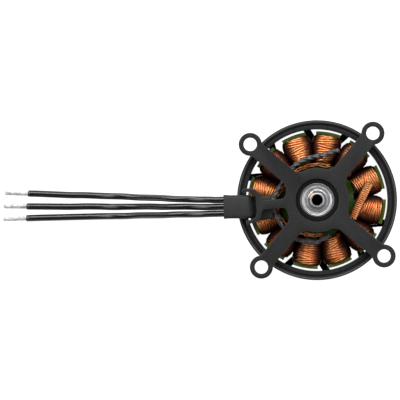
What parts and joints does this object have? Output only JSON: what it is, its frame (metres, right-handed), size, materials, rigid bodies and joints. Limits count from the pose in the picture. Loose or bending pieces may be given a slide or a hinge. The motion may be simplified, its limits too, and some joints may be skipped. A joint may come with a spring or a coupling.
{
  "type": "brushless outrunner motor",
  "caption": "Pancake brushless outrunner motor with an open wound stator, spinning magnet ring, four-arm rear mount and bare-ended leads.",
  "frame": {"origin": "on the shaft's axis, in the plane of the front hub's face that the motor stands on", "axes": "+Z along the shaft towards the rear mount, -X towards the cable clip and the leads"},
  "size_m": [0.0803, 0.0324, 0.0156],
  "materials": {
    "black_anodised": "matte bead-blasted, black anodised",
    "lamination": "stacked silicon steel, ground outside",
    "insulation": "green epoxy",
    "copper_wire": "enamelled copper wire",
    "phase_sleeving": "dark grey sleeving, shrunk over stranded wire",
    "heat_shrink": "satin black heat-shrink",
    "lead_insulation": "glossy black silicone",
    "tinned_copper": "twisted, tinned",
    "shaft_steel": "ground",
    "spring_steel": "spring steel",
    "bearing_steel": "polished",
    "bearing_shield": "pressed steel",
    "brass": "plain",
    "flux_ring_steel": "turned steel, black oxide",
    "magnet": "epoxy-coated neodymium"
  },
  "bodies": {
    "stator": {"mount_plate": "black_anodised", "bearing_tube": "black_anodised", "stator_core": "lamination", "rear_insulator": "insulation", "front_insulator": "insulation", "coil_01": "copper_wire", "coil_02": "copper_wire", "coil_03": "copper_wire", "coil_04": "copper_wire", "coil_05": "copper_wire", "coil_06": "copper_wire", "coil_07": "copper_wire", "coil_08": "copper_wire", "coil_09": "copper_wire", "coil_10": "copper_wire", "coil_11": "copper_wire", "coil_12": "copper_wire", "phase_a_jumper": "copper_wire", "phase_b_jumper": "copper_wire", "phase_c_jumper": "copper_wire", "phase_a_sleeve": "phase_sleeving", "phase_b_sleeve": "phase_sleeving", "phase_c_sleeve": "phase_sleeving", "solder_joints": "tinned_copper", "cable_sleeve": "heat_shrink", "lead_a": "lead_insulation", "lead_b": "lead_insulation", "lead_c": "lead_insulation", "lead_a_tip": "tinned_copper", "lead_b_tip": "tinned_copper", "lead_c_tip": "tinned_copper", "rear_bearing_outer_race": "bearing_steel", "rear_bearing_shields": "bearing_shield", "front_bearing_outer_race": "bearing_steel", "front_bearing_shields": "bearing_shield"},
    "rotor": {"flux_ring": "flux_ring_steel", "bell": "black_anodised", "shaft": "shaft_steel", "retaining_clip": "spring_steel", "shim_washer": "brass", "magnet_01": "magnet", "magnet_02": "magnet", "magnet_03": "magnet", "magnet_04": "magnet", "magnet_05": "magnet", "magnet_06": "magnet", "magnet_07": "magnet", "magnet_08": "magnet", "magnet_09": "magnet", "magnet_10": "magnet", "magnet_11": "magnet", "magnet_12": "magnet", "magnet_13": "magnet", "magnet_14": "magnet", "rear_bearing_inner_race": "bearing_steel", "front_bearing_inner_race": "bearing_steel"},
    "rear_cage": {"rear_bearing_cage": "brass", "rear_bearing_balls": "bearing_steel"},
    "front_cage": {"front_bearing_cage": "brass", "front_bearing_balls": "bearing_steel"}
  },
  "joints": [
    {"name": "rotor_spin", "type": "hinge", "parent": "stator", "child": "rotor", "pos_m": [0, 0, 0.007], "axis": [0, 0, 1], "continuous": true},
    {"name": "rear_cage_spin", "type": "hinge", "parent": "stator", "child": "rear_cage", "pos_m": [0, 0, 0.0129], "axis": [0, 0, 1], "continuous": true},
    {"name": "front_cage_spin", "type": "hinge", "parent": "stator", "child": "front_cage", "pos_m": [0, 0, 0.0049], "axis": [0, 0, 1], "continuous": true}
  ],
  "couplings": [
    {"joint": "rear_cage_spin", "follows": "rotor_spin", "ratio": 0.4},
    {"joint": "front_cage_spin", "follows": "rotor_spin", "ratio": 0.4}
  ]
}
